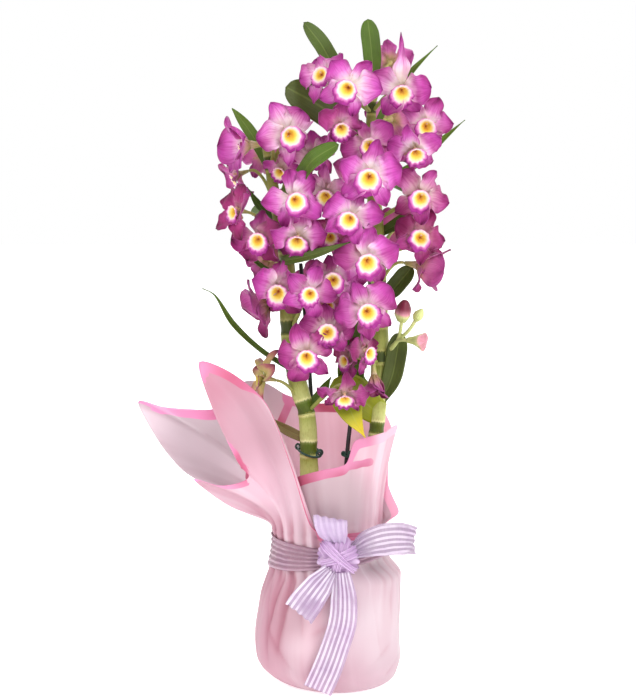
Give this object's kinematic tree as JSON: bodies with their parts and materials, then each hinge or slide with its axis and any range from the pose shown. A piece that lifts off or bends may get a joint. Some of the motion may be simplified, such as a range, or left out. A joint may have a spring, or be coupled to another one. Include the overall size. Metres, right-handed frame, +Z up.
{
  "type": "potted dendrobium orchid",
  "caption": "Gift-wrapped potted dendrobium orchid: jointed canes with strap leaves and magenta blooms, in bark with stakes, a pink bordered wrap and a lilac ribbon bow.",
  "frame": {"origin": "middle of the flat base that it stands on", "axes": "+Z up, -Y towards the front where the bow is, +X to the right"},
  "size_m": [0.312, 0.1795, 0.629],
  "materials": {
    "cane": "smooth green plant tissue with papery sheaths",
    "bloom": "soft satin petals, white at the base, yellow lip",
    "faded_bloom": "withered petals, dull",
    "pot": "thin moulded plastic",
    "bark": "loose orchid bark, matt",
    "stake": "black coated rod",
    "wire": "dark green coated wire",
    "outer_sheet": "satin pink wrapping film, brighter border",
    "inner_sheet": "pale translucent wrapping film, bright pink border",
    "ribbon": "sheer lilac ribbon with satin stripes"
  },
  "bodies": {
    "root": {"pot": "pot", "growing_medium": "bark", "stake_left": "stake", "stake_right": "stake", "clip_cane": "wire", "clip_stake": "wire", "cane_left": "cane", "cane_right": "cane", "wrap_sheet_outer": "outer_sheet", "wrap_sheet_inner": "inner_sheet", "ribbon": "ribbon", "bloom_top_front": "bloom", "bloom_top_left": "bloom", "bloom_top_right": "bloom", "bloom_top_back": "bloom", "bloom_right_1": "bloom", "bloom_right_2": "bloom", "bloom_right_3": "bloom", "bloom_right_4": "bloom", "bloom_right_5": "bloom", "bloom_middle_1": "bloom", "bloom_middle_2": "bloom", "bloom_middle_3": "bloom", "bloom_middle_4": "bloom", "bloom_middle_5": "bloom", "bloom_middle_6": "bloom", "bloom_middle_7": "bloom", "bloom_middle_8": "bloom", "bloom_middle_9": "bloom", "bloom_centre_1": "bloom", "bloom_centre_2": "bloom", "bloom_centre_3": "bloom", "bloom_centre_4": "bloom", "bloom_centre_5": "bloom", "bloom_centre_6": "bloom", "bloom_centre_7": "bloom", "bloom_centre_8": "bloom", "bloom_centre_9": "bloom", "bloom_centre_10": "bloom", "bloom_centre_11": "bloom", "bloom_centre_12": "bloom", "bloom_centre_13": "bloom", "bloom_left_1": "bloom", "bloom_left_2": "bloom", "bloom_left_3": "bloom", "bloom_left_4": "bloom", "bloom_left_5": "bloom", "bloom_left_6": "bloom", "bloom_left_faded": "faded_bloom", "bloom_back_1": "bloom", "bloom_back_2": "bloom", "bloom_back_3": "bloom", "bloom_back_4": "bloom", "bloom_back_5": "bloom", "bloom_back_6": "bloom", "bloom_back_7": "bloom", "bloom_back_8": "bloom"}
  },
  "joints": []
}
